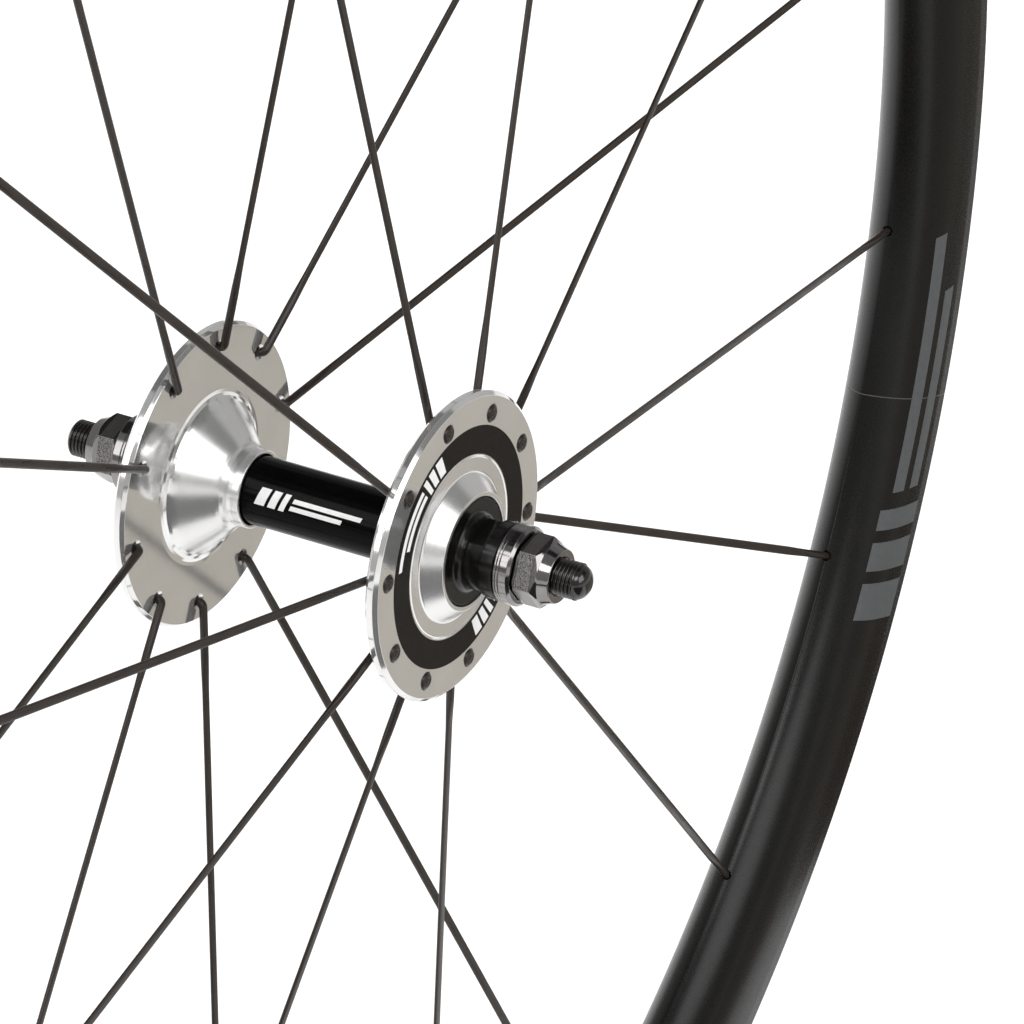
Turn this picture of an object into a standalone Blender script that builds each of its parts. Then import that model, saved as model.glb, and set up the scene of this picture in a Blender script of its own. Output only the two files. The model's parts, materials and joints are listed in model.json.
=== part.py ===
"""Front wheel of a track bicycle: polished hub, twenty radial bladed spokes, aero rim, axle nuts.

The origin is the wheel's centre and the axle lies along Y. The "near" half of the hub is on -Y and
the "far" half on +Y. Angles round the wheel run from +X towards +Z.
Lengths below are millimetres and are turned into metres by MM.
"""
import math

import bmesh
import bpy
from mathutils import Matrix, Vector

MM = 0.001
NEAR, FAR = -1, 1                    # which side of the wheel a piece is on, as the sign of its Y
SIDE_NAMES = {NEAR: "near", FAR: "far"}
GAP = 0.3                            # clearance left between pieces that touch

# wheel
SPOKES_PER_SIDE = 10
FIRST_SPOKE = {NEAR: 25.75, FAR: 7.75}          # degrees round the wheel
SPOKE_PITCH = 360.0 / SPOKES_PER_SIDE
RIM_STEPS = 60

# rim, a 622 size with a rounded aero spoke bed
RIM_OUTER_RADIUS = 316.5
RIM_HALF_WIDTH = 11.5
RIM_BED_RADIUS = 287.3               # innermost point, where the spokes enter
RIM_SHOULDER_RADIUS = 304.0          # where the curved bed meets the flat side
RIM_BED_POWER = 1.5                  # superellipse power of the bed's curve
BEAD_SEAT_RADIUS = 311.0
SPOKE_HOLE_RADIUS = 1.45
TOOL_HOLE_RADIUS = 4.0
VALVE_HOLE_RADIUS = 3.25
VALVE_ANGLE = 160.75

# spokes
HOLE_CIRCLE_RADIUS = 32.0
SPOKE_RADIUS = 1.0
HEAD_RADIUS = 1.85
BLADE_HALF_WIDTH, BLADE_HALF_DEPTH = 1.15, 0.45
SPOKE_PLANE = 30.75                  # distance from the wheel's middle plane, at the hole circle
SPOKE_TIP_RADIUS = 299.0
SPOKE_LEAN = (SPOKE_PLANE - 0.3) / (RIM_BED_RADIUS - HOLE_CIRCLE_RADIUS)
NIPPLE_SEAT_RADIUS = 290.8

# hub, measured out from the wheel's middle plane
FLANGE_FACE, FLANGE_BACK = 35.9, 32.6
FLANGE_RADIUS = 37.2
COLLAR_END = 18.6                    # inner end of the collar round the barrel
BEARING_SEAT_RADIUS = 13.3
BEARING_INNER_END, BEARING_OUTER_END = 30.8, 38.5
BARREL_RADIUS = 8.3
HUB_STEPS = 30

# axle and what is on it
AXLE_NEAR_END = 71.0
AXLE_FAR_END = 70.0
THREAD_RADIUS = 4.5
JOURNAL_RADIUS = 4.7
LOCKNUT_FACE = 50.0                  # half of the 100 mm between the fork ends
WASHER_RADIUS = 9.57
WASHER_FACES = (LOCKNUT_FACE + GAP, 54.4)
NUT_FACES = (WASHER_FACES[1] + GAP, 63.3)
NUT_ACROSS_FLATS = 15.0
NUT_CORNER_ANGLE = {NEAR: 7.4, FAR: 15.5}
AXLE_STEPS = 20

# cage of a bearing
BALLS = 7
BALL_RADIUS = 1.8
BALL_CIRCLE_RADIUS = 9.15

MATERIALS = {
    # name: (colour, roughness, metallic)
    "black_anodised": ((0.020, 0.019, 0.018, 1), 0.42, 0.75),
    "spoke_black": ((0.030, 0.025, 0.022, 1), 0.32, 0.8),
    "nipple_alloy": ((0.55, 0.55, 0.56, 1), 0.35, 1.0),
    "polished_alloy": ((0.80, 0.79, 0.77, 1), 0.12, 1.0),
    "barrel_black": ((0.012, 0.012, 0.012, 1), 0.12, 0.3),
    "chrome": ((0.62, 0.61, 0.60, 1), 0.10, 1.0),
    "black_oxide": ((0.018, 0.016, 0.015, 1), 0.34, 0.7),
    "cap_black": ((0.015, 0.014, 0.013, 1), 0.28, 0.5),
    "bearing_steel": ((0.56, 0.56, 0.57, 1), 0.18, 1.0),
    "cage_brass": ((0.60, 0.45, 0.20, 1), 0.35, 1.0),
}


def clear_scene():
    for obj in list(bpy.data.objects):
        bpy.data.objects.remove(obj, do_unlink=True)


def new_collection(name):
    collection = bpy.data.collections.new(name)
    bpy.context.scene.collection.children.link(collection)
    return collection


def make_material(name):
    colour, roughness, metallic = MATERIALS[name]
    material = bpy.data.materials.new(name)
    material.use_nodes = True
    shader = material.node_tree.nodes["Principled BSDF"]
    shader.inputs["Base Color"].default_value = colour
    shader.inputs["Roughness"].default_value = roughness
    shader.inputs["Metallic"].default_value = metallic
    material.diffuse_color = colour
    return material


def add_object(name, mesh, collection, material=None):
    obj = bpy.data.objects.new(name, mesh)
    collection.objects.link(obj)
    if material is not None:
        mesh.materials.append(materials[material])
    return obj


def as_cutter(obj):
    obj.hide_render = True
    obj.display_type = "WIRE"
    return obj


def axis_frame(side, angle=0.0):
    """Turn a shape made round local Z so that local Z points out of the hub on that side."""
    tilt = Matrix.Rotation(math.radians(-90.0 * side), 4, "X")
    return tilt @ Matrix.Rotation(math.radians(-angle * side), 4, "Z")


def wheel_point(angle, radius, along):
    """The point at that angle round the wheel, distance from the axle and position on the axle."""
    turn = math.radians(angle)
    return Vector((radius * math.cos(turn), along, radius * math.sin(turn))) * MM


def turned(name, outline, steps, collection, material=None, closed=True):
    """Revolve (radius, height) points, listed down the outer side, round local Z."""
    mesh = bpy.data.meshes.new(name)
    points = [(radius * MM, 0.0, height * MM) for radius, height in outline]
    edges = [(i, i + 1) for i in range(len(points) - 1)]
    if closed:
        edges.append((len(points) - 1, 0))
    mesh.from_pydata(points, edges, [])
    obj = add_object(name, mesh, collection, material)
    screw = obj.modifiers.new("Turn", "SCREW")
    screw.axis = "Z"
    screw.angle = math.tau
    screw.steps = steps
    screw.render_steps = steps
    screw.use_merge_vertices = True
    screw.merge_threshold = 0.00001
    screw.use_smooth_shade = True
    return obj


def boolean(obj, other, operation="DIFFERENCE"):
    modifier = obj.modifiers.new(other.name, "BOOLEAN")
    modifier.operation = operation
    modifier.solver = "EXACT"
    modifier.object = other


def drill_set(name, drills, sides=8):
    """One cutter of separate drills, each (start, end, start radius, end radius) in metres."""
    bm = bmesh.new()
    for start, end, start_radius, end_radius in drills:
        run = end - start
        place = Matrix.Translation((start + end) / 2) @ run.to_track_quat("Z", "Y").to_matrix().to_4x4()
        bmesh.ops.create_cone(
            bm, cap_ends=True, segments=sides, radius1=start_radius * MM, radius2=end_radius * MM,
            depth=run.length, matrix=place,
        )
    mesh = bpy.data.meshes.new(name)
    bm.to_mesh(mesh)
    bm.free()
    return as_cutter(add_object(name, mesh, cutters))


def spoke_angles(side):
    return [FIRST_SPOKE[side] + SPOKE_PITCH * i for i in range(SPOKES_PER_SIDE)]


def spoke_offset(radius):
    """A spoke's distance from the wheel's middle plane, on its own side, at that radius."""
    return SPOKE_PLANE - SPOKE_LEAN * (radius - HOLE_CIRCLE_RADIUS)


def spoke_point(side, angle, radius):
    return wheel_point(angle, radius, side * spoke_offset(radius))


# rim ------------------------------------------------------------------------------------------

def bed_curve(points=4):
    """The curved spoke bed from the shoulder in to the apex, as (radius, half width)."""
    depth = RIM_SHOULDER_RADIUS - RIM_BED_RADIUS
    curve = []
    for i in range(points):
        turn = math.pi / 2 * (1 - i / (points - 1))
        radius = RIM_SHOULDER_RADIUS - depth * math.cos(turn) ** (2 / RIM_BED_POWER)
        curve.append((radius, RIM_HALF_WIDTH * math.sin(turn) ** (2 / RIM_BED_POWER)))
    return curve


def mirrored_outline(half):
    """Close a (radius, height) outline given for heights above zero, mirrored below zero."""
    upper = [(radius, height) for radius, height in half if height > 1e-6]
    middle = [(radius, 0.0) for radius, height in half if height <= 1e-6]
    return upper + middle + [(radius, -height) for radius, height in reversed(upper)]


def build_rim():
    well = [(308.4, 4.6), (BEAD_SEAT_RADIUS, 6.6), (BEAD_SEAT_RADIUS, 9.4)]
    hook = [(RIM_OUTER_RADIUS, 10.0), (RIM_OUTER_RADIUS, RIM_HALF_WIDTH)]
    outline = list(reversed(mirrored_outline(well + hook + bed_curve())))
    rim = turned("rim", outline, RIM_STEPS, parts, "black_anodised")
    chamber_half = [(306.9, 4.2), (309.3, 9.7), (297.6, 7.6), (290.4, 2.9)]
    chamber = turned("rim_chamber", list(reversed(mirrored_outline(chamber_half))), RIM_STEPS, cutters)
    as_cutter(chamber)
    # a facet's middle is at every spoke hole
    facet = axis_frame(FAR, FIRST_SPOKE[FAR] + 180.0 / RIM_STEPS)
    rim.matrix_world = facet
    chamber.matrix_world = facet

    spoke_drills, tool_drills = [], []
    for side in (NEAR, FAR):
        for angle in spoke_angles(side):
            spoke_drills.append((
                spoke_point(side, angle, RIM_BED_RADIUS - 4), spoke_point(side, angle, 293.0),
                SPOKE_HOLE_RADIUS, SPOKE_HOLE_RADIUS,
            ))
            tool_drills.append((
                wheel_point(angle, 305.0, 0), wheel_point(angle, RIM_OUTER_RADIUS, 0),
                TOOL_HOLE_RADIUS, TOOL_HOLE_RADIUS,
            ))
    valve_drill = (
        wheel_point(VALVE_ANGLE, RIM_BED_RADIUS - 4, 0), wheel_point(VALVE_ANGLE, RIM_OUTER_RADIUS, 0),
        VALVE_HOLE_RADIUS, VALVE_HOLE_RADIUS,
    )
    boolean(rim, chamber)
    boolean(rim, drill_set("spoke_drills", spoke_drills))
    boolean(rim, drill_set("tool_drills", tool_drills))
    boolean(rim, drill_set("valve_drill", [valve_drill]))


# spokes ---------------------------------------------------------------------------------------

def section(centre, across, depth, half_width, half_depth, sides=6):
    """A ring of points round centre in the plane of two unit vectors."""
    ring = []
    for i in range(sides):
        turn = math.tau * (i + 0.5) / sides
        ring.append(centre + across * half_width * math.cos(turn) + depth * half_depth * math.sin(turn))
    return ring


def loft(rings):
    """Skin rings of equal count and close both ends."""
    bm = bmesh.new()
    loops = [[bm.verts.new(point) for point in ring] for ring in rings]
    count = len(loops[0])
    for lower, upper in zip(loops, loops[1:]):
        for i in range(count):
            j = (i + 1) % count
            bm.faces.new((lower[i], lower[j], upper[j], upper[i]))
    bm.faces.new(list(reversed(loops[0])))
    bm.faces.new(loops[-1])
    bmesh.ops.recalc_face_normals(bm, faces=bm.faces)
    return bm


def spoke_mesh():
    """A spoke in its own frame: X away from the axle, Y across, Z out of the hub on its side."""
    across = Vector((0, 1, 0))
    lean = Vector((1, 0, -SPOKE_LEAN)).normalized()
    flat = Vector((SPOKE_LEAN, 0, 1)).normalized()
    out = Vector((1, 0, 0))
    bend = (out + flat).normalized()
    hole = HOLE_CIRCLE_RADIUS
    # radius from the axle, distance out from the middle plane, depth direction, half sizes
    stations = [
        (hole, 36.4, out, HEAD_RADIUS, HEAD_RADIUS),
        (hole, 36.0, out, HEAD_RADIUS, HEAD_RADIUS),
        (hole, 35.0, out, SPOKE_RADIUS * 0.95, SPOKE_RADIUS * 0.95),
        (hole, 32.1, out, SPOKE_RADIUS * 0.95, SPOKE_RADIUS * 0.95),
        (hole + 0.5, 31.15, bend, SPOKE_RADIUS, SPOKE_RADIUS),
        (hole + 1.8, spoke_offset(hole + 1.8), flat, SPOKE_RADIUS, SPOKE_RADIUS),
        (50.0, spoke_offset(50.0), flat, SPOKE_RADIUS, SPOKE_RADIUS),
        (57.0, spoke_offset(57.0), flat, BLADE_HALF_WIDTH, BLADE_HALF_DEPTH),
        (272.0, spoke_offset(272.0), flat, BLADE_HALF_WIDTH, BLADE_HALF_DEPTH),
        (279.0, spoke_offset(279.0), flat, SPOKE_RADIUS, SPOKE_RADIUS),
        (SPOKE_TIP_RADIUS, spoke_offset(SPOKE_TIP_RADIUS), flat, SPOKE_RADIUS, SPOKE_RADIUS),
    ]
    rings = []
    for radius, height, depth, half_width, half_depth in stations:
        centre = Vector((radius, 0, height)) * MM
        rings.append(section(centre, across, depth, half_width * MM, half_depth * MM))
    bm = loft(rings)
    mesh = bpy.data.meshes.new("spoke")
    bm.to_mesh(mesh)
    bm.free()
    mesh.materials.append(materials["spoke_black"])
    mesh.shade_smooth()
    mesh.set_sharp_from_angle(angle=math.radians(35))
    return mesh


def nipple_outline():
    """Hexagonal nipple from its seat outwards, with the bore that the spoke screws into."""
    return [(1.3, 9.5), (1.9, 9.5), (2.4, 5.5), (2.4, 0.0), (1.3, 0.0)]


def build_spokes():
    shared = spoke_mesh()
    for side in (NEAR, FAR):
        for i, angle in enumerate(spoke_angles(side), start=1):
            tag = f"{SIDE_NAMES[side]}_{i:02d}"
            spoke = bpy.data.objects.new(f"spoke_{tag}", shared)
            parts.objects.link(spoke)
            spoke.matrix_world = axis_frame(side, angle)
            nipple = turned(f"nipple_{tag}", nipple_outline(), 6, parts, "nipple_alloy")
            seat = spoke_point(side, angle, NIPPLE_SEAT_RADIUS)
            run = spoke_point(side, angle, SPOKE_TIP_RADIUS) - seat
            aim = run.to_track_quat("Z", "Y").to_matrix().to_4x4()
            nipple.matrix_world = Matrix.Translation(seat) @ aim


# hub ------------------------------------------------------------------------------------------

def flange_outline():
    bore = [(8.6, COLLAR_END), (8.6, 26.8), (7.2, 26.8), (7.2, 30.5), (BEARING_SEAT_RADIUS, 30.5)]
    lip = [(BEARING_SEAT_RADIUS, 40.0), (14.25, 40.0), (17.6, 36.4), (18.4, FLANGE_FACE)]
    edge = [(36.2, FLANGE_FACE), (FLANGE_RADIUS, 35.0), (FLANGE_RADIUS, 33.5), (36.4, FLANGE_BACK)]
    cone = [(19.8, FLANGE_BACK), (10.4, 23.5), (9.5, 22.3), (9.5, COLLAR_END)]
    return bore + lip + edge + cone


def build_flange(side):
    name = SIDE_NAMES[side]
    flange = turned(f"hub_flange_{name}", flange_outline(), HUB_STEPS, parts, "polished_alloy")
    flange.matrix_world = axis_frame(side, FIRST_SPOKE[side] + 180.0 / HUB_STEPS)
    holes, sinks = [], []
    for angle in spoke_angles(side):
        inner = wheel_point(angle, HOLE_CIRCLE_RADIUS, side * (FLANGE_BACK - 1))
        outer = wheel_point(angle, HOLE_CIRCLE_RADIUS, side * (FLANGE_FACE + 1))
        holes.append((inner, outer, 1.35, 1.35))
        sink_bottom = wheel_point(angle, HOLE_CIRCLE_RADIUS, side * (FLANGE_FACE - 1.2))
        sinks.append((sink_bottom, outer, 1.3, 3.3))
    boolean(flange, drill_set(f"flange_holes_{name}", holes))
    boolean(flange, drill_set(f"flange_sinks_{name}", sinks))


def ring_outline(inner, outer, low, high):
    return [(outer, high), (outer, low), (inner, low), (inner, high)]


def build_bearing(side):
    name = SIDE_NAMES[side]
    ends = (BEARING_INNER_END, BEARING_OUTER_END)
    middle = sum(ends) / 2
    outer = turned(f"bearing_outer_race_{name}", ring_outline(11.3, 13.0, *ends), AXLE_STEPS, parts,
                   "bearing_steel")
    inner = turned(f"bearing_inner_race_{name}", ring_outline(5.0, 7.0, *ends), AXLE_STEPS, parts,
                   "bearing_steel")
    cage = turned(f"bearing_cage_{name}", ring_outline(8.4, 9.9, middle - 1.2, middle + 1.2),
                  AXLE_STEPS, parts, "cage_brass")
    for piece in (outer, inner, cage):
        piece.matrix_world = axis_frame(side)
    bm = bmesh.new()
    for i in range(BALLS):
        centre = wheel_point(360.0 * i / BALLS, BALL_CIRCLE_RADIUS, side * middle)
        bmesh.ops.create_uvsphere(bm, u_segments=6, v_segments=4, radius=BALL_RADIUS * MM,
                                  matrix=Matrix.Translation(centre))
    mesh = bpy.data.meshes.new(f"balls_{name}")
    bm.to_mesh(mesh)
    bm.free()
    boolean(cage, as_cutter(add_object(f"balls_{name}", mesh, cutters)), "UNION")


def build_barrel():
    barrel = turned("hub_barrel", ring_outline(6.9, BARREL_RADIUS, -26.5, 26.5), AXLE_STEPS, parts,
                    "barrel_black")
    barrel.matrix_world = axis_frame(FAR)


# axle -----------------------------------------------------------------------------------------

def build_axle():
    shoulder = BEARING_INNER_END - GAP - 0.1
    far_end = [(0.0, AXLE_FAR_END), (3.7, AXLE_FAR_END), (THREAD_RADIUS, AXLE_FAR_END - 0.8)]
    far_run = [(THREAD_RADIUS, 50.6), (JOURNAL_RADIUS, 50.4), (JOURNAL_RADIUS, shoulder), (6.2, shoulder)]
    near_run = [(radius, -height) for radius, height in reversed(far_run)]
    dome = [(THREAD_RADIUS, -68.0), (3.9, -69.8), (2.3, -70.8), (0.0, -AXLE_NEAR_END)]
    axle = turned("axle", far_end + far_run + near_run + dome, AXLE_STEPS, parts, "black_oxide",
                  closed=False)
    axle.matrix_world = axis_frame(FAR)


def box(name, low, high):
    """A box between two corners, in millimetres."""
    low, high = Vector(low) * MM, Vector(high) * MM
    bm = bmesh.new()
    size = Matrix.Diagonal((*(high - low), 1.0))
    bmesh.ops.create_cube(bm, size=1.0, matrix=Matrix.Translation((low + high) / 2) @ size)
    mesh = bpy.data.meshes.new(name)
    bm.to_mesh(mesh)
    bm.free()
    return as_cutter(add_object(name, mesh, cutters))


def build_end_cap(side):
    """Dust cap, spacer and cone-spanner flats in one piece, up to the face that the fork end sits on."""
    name = SIDE_NAMES[side]
    bore = JOURNAL_RADIUS + GAP
    disc = BEARING_OUTER_END + GAP + 0.05
    neck, flat_from, flat_to = 9.0, 42.3, 47.2
    outline = [
        (9.4, LOCKNUT_FACE), (9.4, flat_to), (neck, flat_to), (neck, 41.3), (11.0, 39.8), (12.95, 39.8),
        (12.95, disc), (bore, disc), (bore, LOCKNUT_FACE),
    ]
    cap = turned(f"end_cap_{name}", outline, AXLE_STEPS, parts, "cap_black")
    cap.matrix_world = axis_frame(side)
    flat = 6.0
    for level, label in ((1, "top"), (-1, "bottom")):
        low = (-12, min(side * flat_from, side * flat_to), min(level * flat, level * 12))
        high = (12, max(side * flat_from, side * flat_to), max(level * flat, level * 12))
        boolean(cap, box(f"cap_flat_{name}_{label}", low, high))


def build_track_nut(side):
    name = SIDE_NAMES[side]
    bore = THREAD_RADIUS + GAP
    low, high = WASHER_FACES
    washer_outline = [(9.2, high), (WASHER_RADIUS, high - 0.4), (WASHER_RADIUS, low), (bore, low),
                      (bore, high)]
    washer = turned(f"nut_washer_{name}", washer_outline, AXLE_STEPS, parts, "chrome")
    low, high = NUT_FACES
    corner = NUT_ACROSS_FLATS / 2 / math.cos(math.radians(30))
    nut_outline = [(6.4, high), (7.2, 60.9), (corner, 59.3), (corner, low + 0.6), (8.0, low), (bore, low),
                   (bore, high)]
    nut = turned(f"track_nut_{name}", nut_outline, AXLE_STEPS, parts, "chrome")
    frame = axis_frame(side, NUT_CORNER_ANGLE[side])
    washer.matrix_world = axis_frame(side)
    nut.matrix_world = frame
    bm = bmesh.new()
    place = Matrix.Translation((0, 0, (low + high) / 2 * MM)) @ Matrix.Rotation(math.radians(30), 4, "Z")
    bmesh.ops.create_cone(bm, cap_ends=True, segments=6, radius1=corner * MM, radius2=corner * MM,
                          depth=0.02, matrix=place)
    mesh = bpy.data.meshes.new(f"hexagon_{name}")
    bm.to_mesh(mesh)
    bm.free()
    hexagon = as_cutter(add_object(f"hexagon_{name}", mesh, cutters))
    hexagon.matrix_world = frame
    boolean(nut, hexagon, "INTERSECT")


clear_scene()
parts = new_collection("track_front_wheel")
cutters = new_collection("cutters")
materials = {name: make_material(name) for name in MATERIALS}

build_rim()
build_spokes()
build_barrel()
build_axle()
for wheel_side in (NEAR, FAR):
    build_flange(wheel_side)
    build_bearing(wheel_side)
    build_end_cap(wheel_side)
    build_track_nut(wheel_side)
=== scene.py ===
"""Looks of the track bicycle front wheel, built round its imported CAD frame.

Lengths are millimetres, turned into metres by MM. The axle lies along Y and the wheel's centre is
the origin. "Out" is the distance from the wheel's middle plane on a piece's own side, and angles
round the wheel run from +X towards +Z.
"""
import json
import math

import bmesh
import bpy
from mathutils import Matrix, Vector


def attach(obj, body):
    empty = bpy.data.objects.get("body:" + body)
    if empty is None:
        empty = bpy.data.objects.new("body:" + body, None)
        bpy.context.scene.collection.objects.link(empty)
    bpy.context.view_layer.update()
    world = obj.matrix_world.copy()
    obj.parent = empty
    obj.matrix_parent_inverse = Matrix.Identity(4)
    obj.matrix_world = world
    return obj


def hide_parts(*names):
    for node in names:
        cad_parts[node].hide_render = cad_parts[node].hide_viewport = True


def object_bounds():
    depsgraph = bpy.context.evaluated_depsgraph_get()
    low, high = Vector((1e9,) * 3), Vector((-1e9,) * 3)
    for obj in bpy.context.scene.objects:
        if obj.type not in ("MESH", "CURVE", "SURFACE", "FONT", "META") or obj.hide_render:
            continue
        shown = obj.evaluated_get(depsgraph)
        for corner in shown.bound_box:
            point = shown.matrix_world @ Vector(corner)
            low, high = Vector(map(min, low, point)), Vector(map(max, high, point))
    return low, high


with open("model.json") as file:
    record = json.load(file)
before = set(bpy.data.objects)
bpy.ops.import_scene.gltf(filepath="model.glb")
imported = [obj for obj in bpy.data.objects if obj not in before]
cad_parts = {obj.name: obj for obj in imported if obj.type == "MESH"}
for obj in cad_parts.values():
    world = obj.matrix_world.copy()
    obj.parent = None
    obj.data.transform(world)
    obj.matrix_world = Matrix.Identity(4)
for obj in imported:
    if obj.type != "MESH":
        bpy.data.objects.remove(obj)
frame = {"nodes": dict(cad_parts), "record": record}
cad_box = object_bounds()

MM = 0.001
NEAR, FAR = -1, 1
SIDE_NAMES = {NEAR: "near", FAR: "far"}
BODY_OF = {node: body for body, nodes in frame["record"]["behaviour"]["bodies"].items() for node in nodes}
SMOOTH_ANGLE = math.radians(32)


# driving sizes, from the frame ------------------------------------------------------------------

def node_points(node):
    return [vertex.co for vertex in frame["nodes"][node].data.vertices]


def reach(node):
    """The largest distance of a CAD node from the axle."""
    return max(math.hypot(p.x, p.z) for p in node_points(node)) / MM


def out_range(node):
    """Least and greatest distance of a CAD node from the wheel's middle plane."""
    outs = [abs(p.y) / MM for p in node_points(node)]
    return min(outs), max(outs)


def tip_angle(node):
    """The angle round the wheel of the point of a CAD node that is farthest from the axle, in degrees."""
    ordered = sorted(node_points(node), key=lambda p: p.x ** 2 + p.z ** 2)
    tip = sum(ordered[-6:], Vector()) / 6
    return math.degrees(math.atan2(tip.z, tip.x))


RIM_RADIUS = reach("rim")
RIM_HALF_WIDTH = out_range("rim")[1]
FLANGE_RADIUS = reach("hub_flange_near")
COLLAR_END, LIP_FACE = out_range("hub_flange_near")
BARREL_RADIUS = reach("hub_barrel")
BARREL_END = out_range("hub_barrel")[1]
CAP_INNER_END, LOCKNUT_FACE = out_range("end_cap_near")
WASHER_LOW, WASHER_HIGH = out_range("nut_washer_near")
NUT_LOW, NUT_HIGH = out_range("track_nut_near")
AXLE_END = {side: max(side * p.y for p in node_points("axle")) / MM for side in (FAR, NEAR)}
RACE_LOW, RACE_HIGH = out_range("bearing_outer_race_near")
SPOKES = {
    side: [(f"spoke_{name}_{i:02d}", tip_angle(f"spoke_{name}_{i:02d}")) for i in range(1, 11)]
    for side, name in SIDE_NAMES.items()
}

# shape of each part
LIP_RADIUS = RIM_RADIUS - 4.0            # where the rim's side ends and its lip leans in
BED_RADIUS = RIM_RADIUS - 29.2           # the bed's innermost point
SEAM_ANGLE = -19.3                       # where the rim's extrusion is joined
VALVE_ANGLE = 160.75
FLANGE_FACE, FLANGE_BACK = 35.9, 32.6
HOLE_CIRCLE = 32.0
HOLE_RADIUS = 1.35
SPOKE_PLANE = 31.3
SPOKE_LEAN = (SPOKE_PLANE - 0.3) / (BED_RADIUS - HOLE_CIRCLE)
LABEL_INNER, LABEL_OUTER = 22.3, 29.2
SPOKE_TIP = 299.0                        # where a spoke ends, inside its nipple
THREAD_RADIUS, THREAD_DEPTH, THREAD_PITCH = 4.5, 0.5, 1.0
THREAD_START = 50.8                      # inner end of each thread
HEX_CORNER = reach("track_nut_near")
HEX_END = 59.4                           # where the nut's flats give way to its nose
FORGED_ANGLE = 160.0                     # about where the near nut's forged flat lies


# mesh helpers -----------------------------------------------------------------------------------

def axis_frame(side, angle=0.0):
    """Turns a shape made round local Z so that local Z points out of the hub on that side."""
    tilt = Matrix.Rotation(math.radians(-90.0 * side), 4, "X")
    return tilt @ Matrix.Rotation(math.radians(-angle * side), 4, "Z")


def wheel_point(angle, radius, along):
    """The point at that angle in degrees, distance from the axle and position on the axle."""
    turn = math.radians(angle)
    return Vector((radius * math.cos(turn), along, radius * math.sin(turn))) * MM


def new_object(name, bm, sharp_angle=SMOOTH_ANGLE):
    """An object from a bmesh, with outward normals, smooth but for its real edges."""
    bmesh.ops.remove_doubles(bm, verts=bm.verts, dist=1e-7)
    bmesh.ops.recalc_face_normals(bm, faces=bm.faces)
    mesh = bpy.data.meshes.new(name)
    bm.to_mesh(mesh)
    bm.free()
    mesh.shade_smooth()
    mesh.set_sharp_from_angle(angle=sharp_angle)
    obj = bpy.data.objects.new(name, mesh)
    bpy.context.scene.collection.objects.link(obj)
    return obj


def rounded(corners, closed=True, arc_step=12.0):
    """Points of an outline through (radius, out, fillet) corners, with every fillet as an arc."""
    points = []
    for i, (radius, out, fillet) in enumerate(corners):
        here = Vector((radius, out))
        if fillet == 0 or (not closed and i in (0, len(corners) - 1)):
            points.append(here)
            continue
        before = Vector(corners[i - 1][:2]) - here
        after = Vector(corners[(i + 1) % len(corners)][:2]) - here
        half = before.angle(after) / 2
        run = min(fillet / math.tan(half), 0.48 * before.length, 0.48 * after.length)
        before.normalize()
        after.normalize()
        centre = here + (before + after).normalized() * run / math.cos(half)
        start, end = here + before * run - centre, here + after * run - centre
        steps = max(2, math.ceil(math.degrees(math.pi - 2 * half) / arc_step))
        for k in range(steps + 1):
            points.append(centre + start.slerp(end, k / steps).normalized() * start.length)
    return points


def supported(points, closed=True, margin=0.05):
    """The outline with a point just inside each end of its long runs, so that flat faces shade flat."""
    result = []
    for i, here in enumerate(points):
        result.append(here)
        if i == len(points) - 1 and not closed:
            break
        run = points[(i + 1) % len(points)] - here
        if run.length > 6 * margin:
            result.append(here + run * margin / run.length)
            result.append(here + run * (1 - margin / run.length))
    return result


def skin(bm, rings, closed_rings=True, closed_round=True):
    """Faces between neighbouring rings of vertices."""
    count = len(rings[0])
    pairs = list(zip(rings, rings[1:]))
    if closed_round:
        pairs.append((rings[-1], rings[0]))
    for lower, upper in pairs:
        for i in range(count if closed_rings else count - 1):
            j = (i + 1) % count
            corners = (lower[i], lower[j], upper[j], upper[i])
            bm.faces.new(corners)


def turned(name, corners, side=FAR, steps=240, closed=True):
    """A turned part: an outline of (radius, out, fillet) corners taken round the axle."""
    outline = supported(rounded(corners, closed), closed)
    bm = bmesh.new()
    rings = []
    for i in range(steps):
        rings.append([bm.verts.new(wheel_point(360.0 * i / steps, p.x, side * p.y)) for p in outline])
    skin(bm, rings, closed_rings=closed)
    return new_object(name, bm)


def cut(obj, cutter, operation="DIFFERENCE"):
    """Apply a boolean and remove the cutter."""
    modifier = obj.modifiers.new("cut", "BOOLEAN")
    modifier.operation = operation
    modifier.solver = "EXACT"
    modifier.object = cutter
    result = bpy.data.meshes.new_from_object(obj.evaluated_get(bpy.context.evaluated_depsgraph_get()))
    obj.modifiers.clear()
    obj.data = result
    obj.data.shade_smooth()
    obj.data.set_sharp_from_angle(angle=SMOOTH_ANGLE)
    bpy.data.objects.remove(cutter)


def drills(name, runs, sides=32):
    """One cutter of separate round drills, each (start, end, start radius, end radius)."""
    bm = bmesh.new()
    for start, end, start_radius, end_radius in runs:
        run = end - start
        place = Matrix.Translation((start + end) / 2) @ run.to_track_quat("Z", "Y").to_matrix().to_4x4()
        bmesh.ops.create_cone(bm, cap_ends=True, segments=sides, radius1=start_radius * MM,
                              radius2=end_radius * MM, depth=run.length, matrix=place)
    return new_object(name, bm)


def dress(obj, finish, node=None, body=None):
    """Give a piece its finish and its CAD body, and hide the CAD node that it stands for."""
    obj.data.materials.clear()
    obj.data.materials.append(finishes[finish])
    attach(obj, body or BODY_OF[node])
    if node:
        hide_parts(node)


# materials --------------------------------------------------------------------------------------

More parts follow.
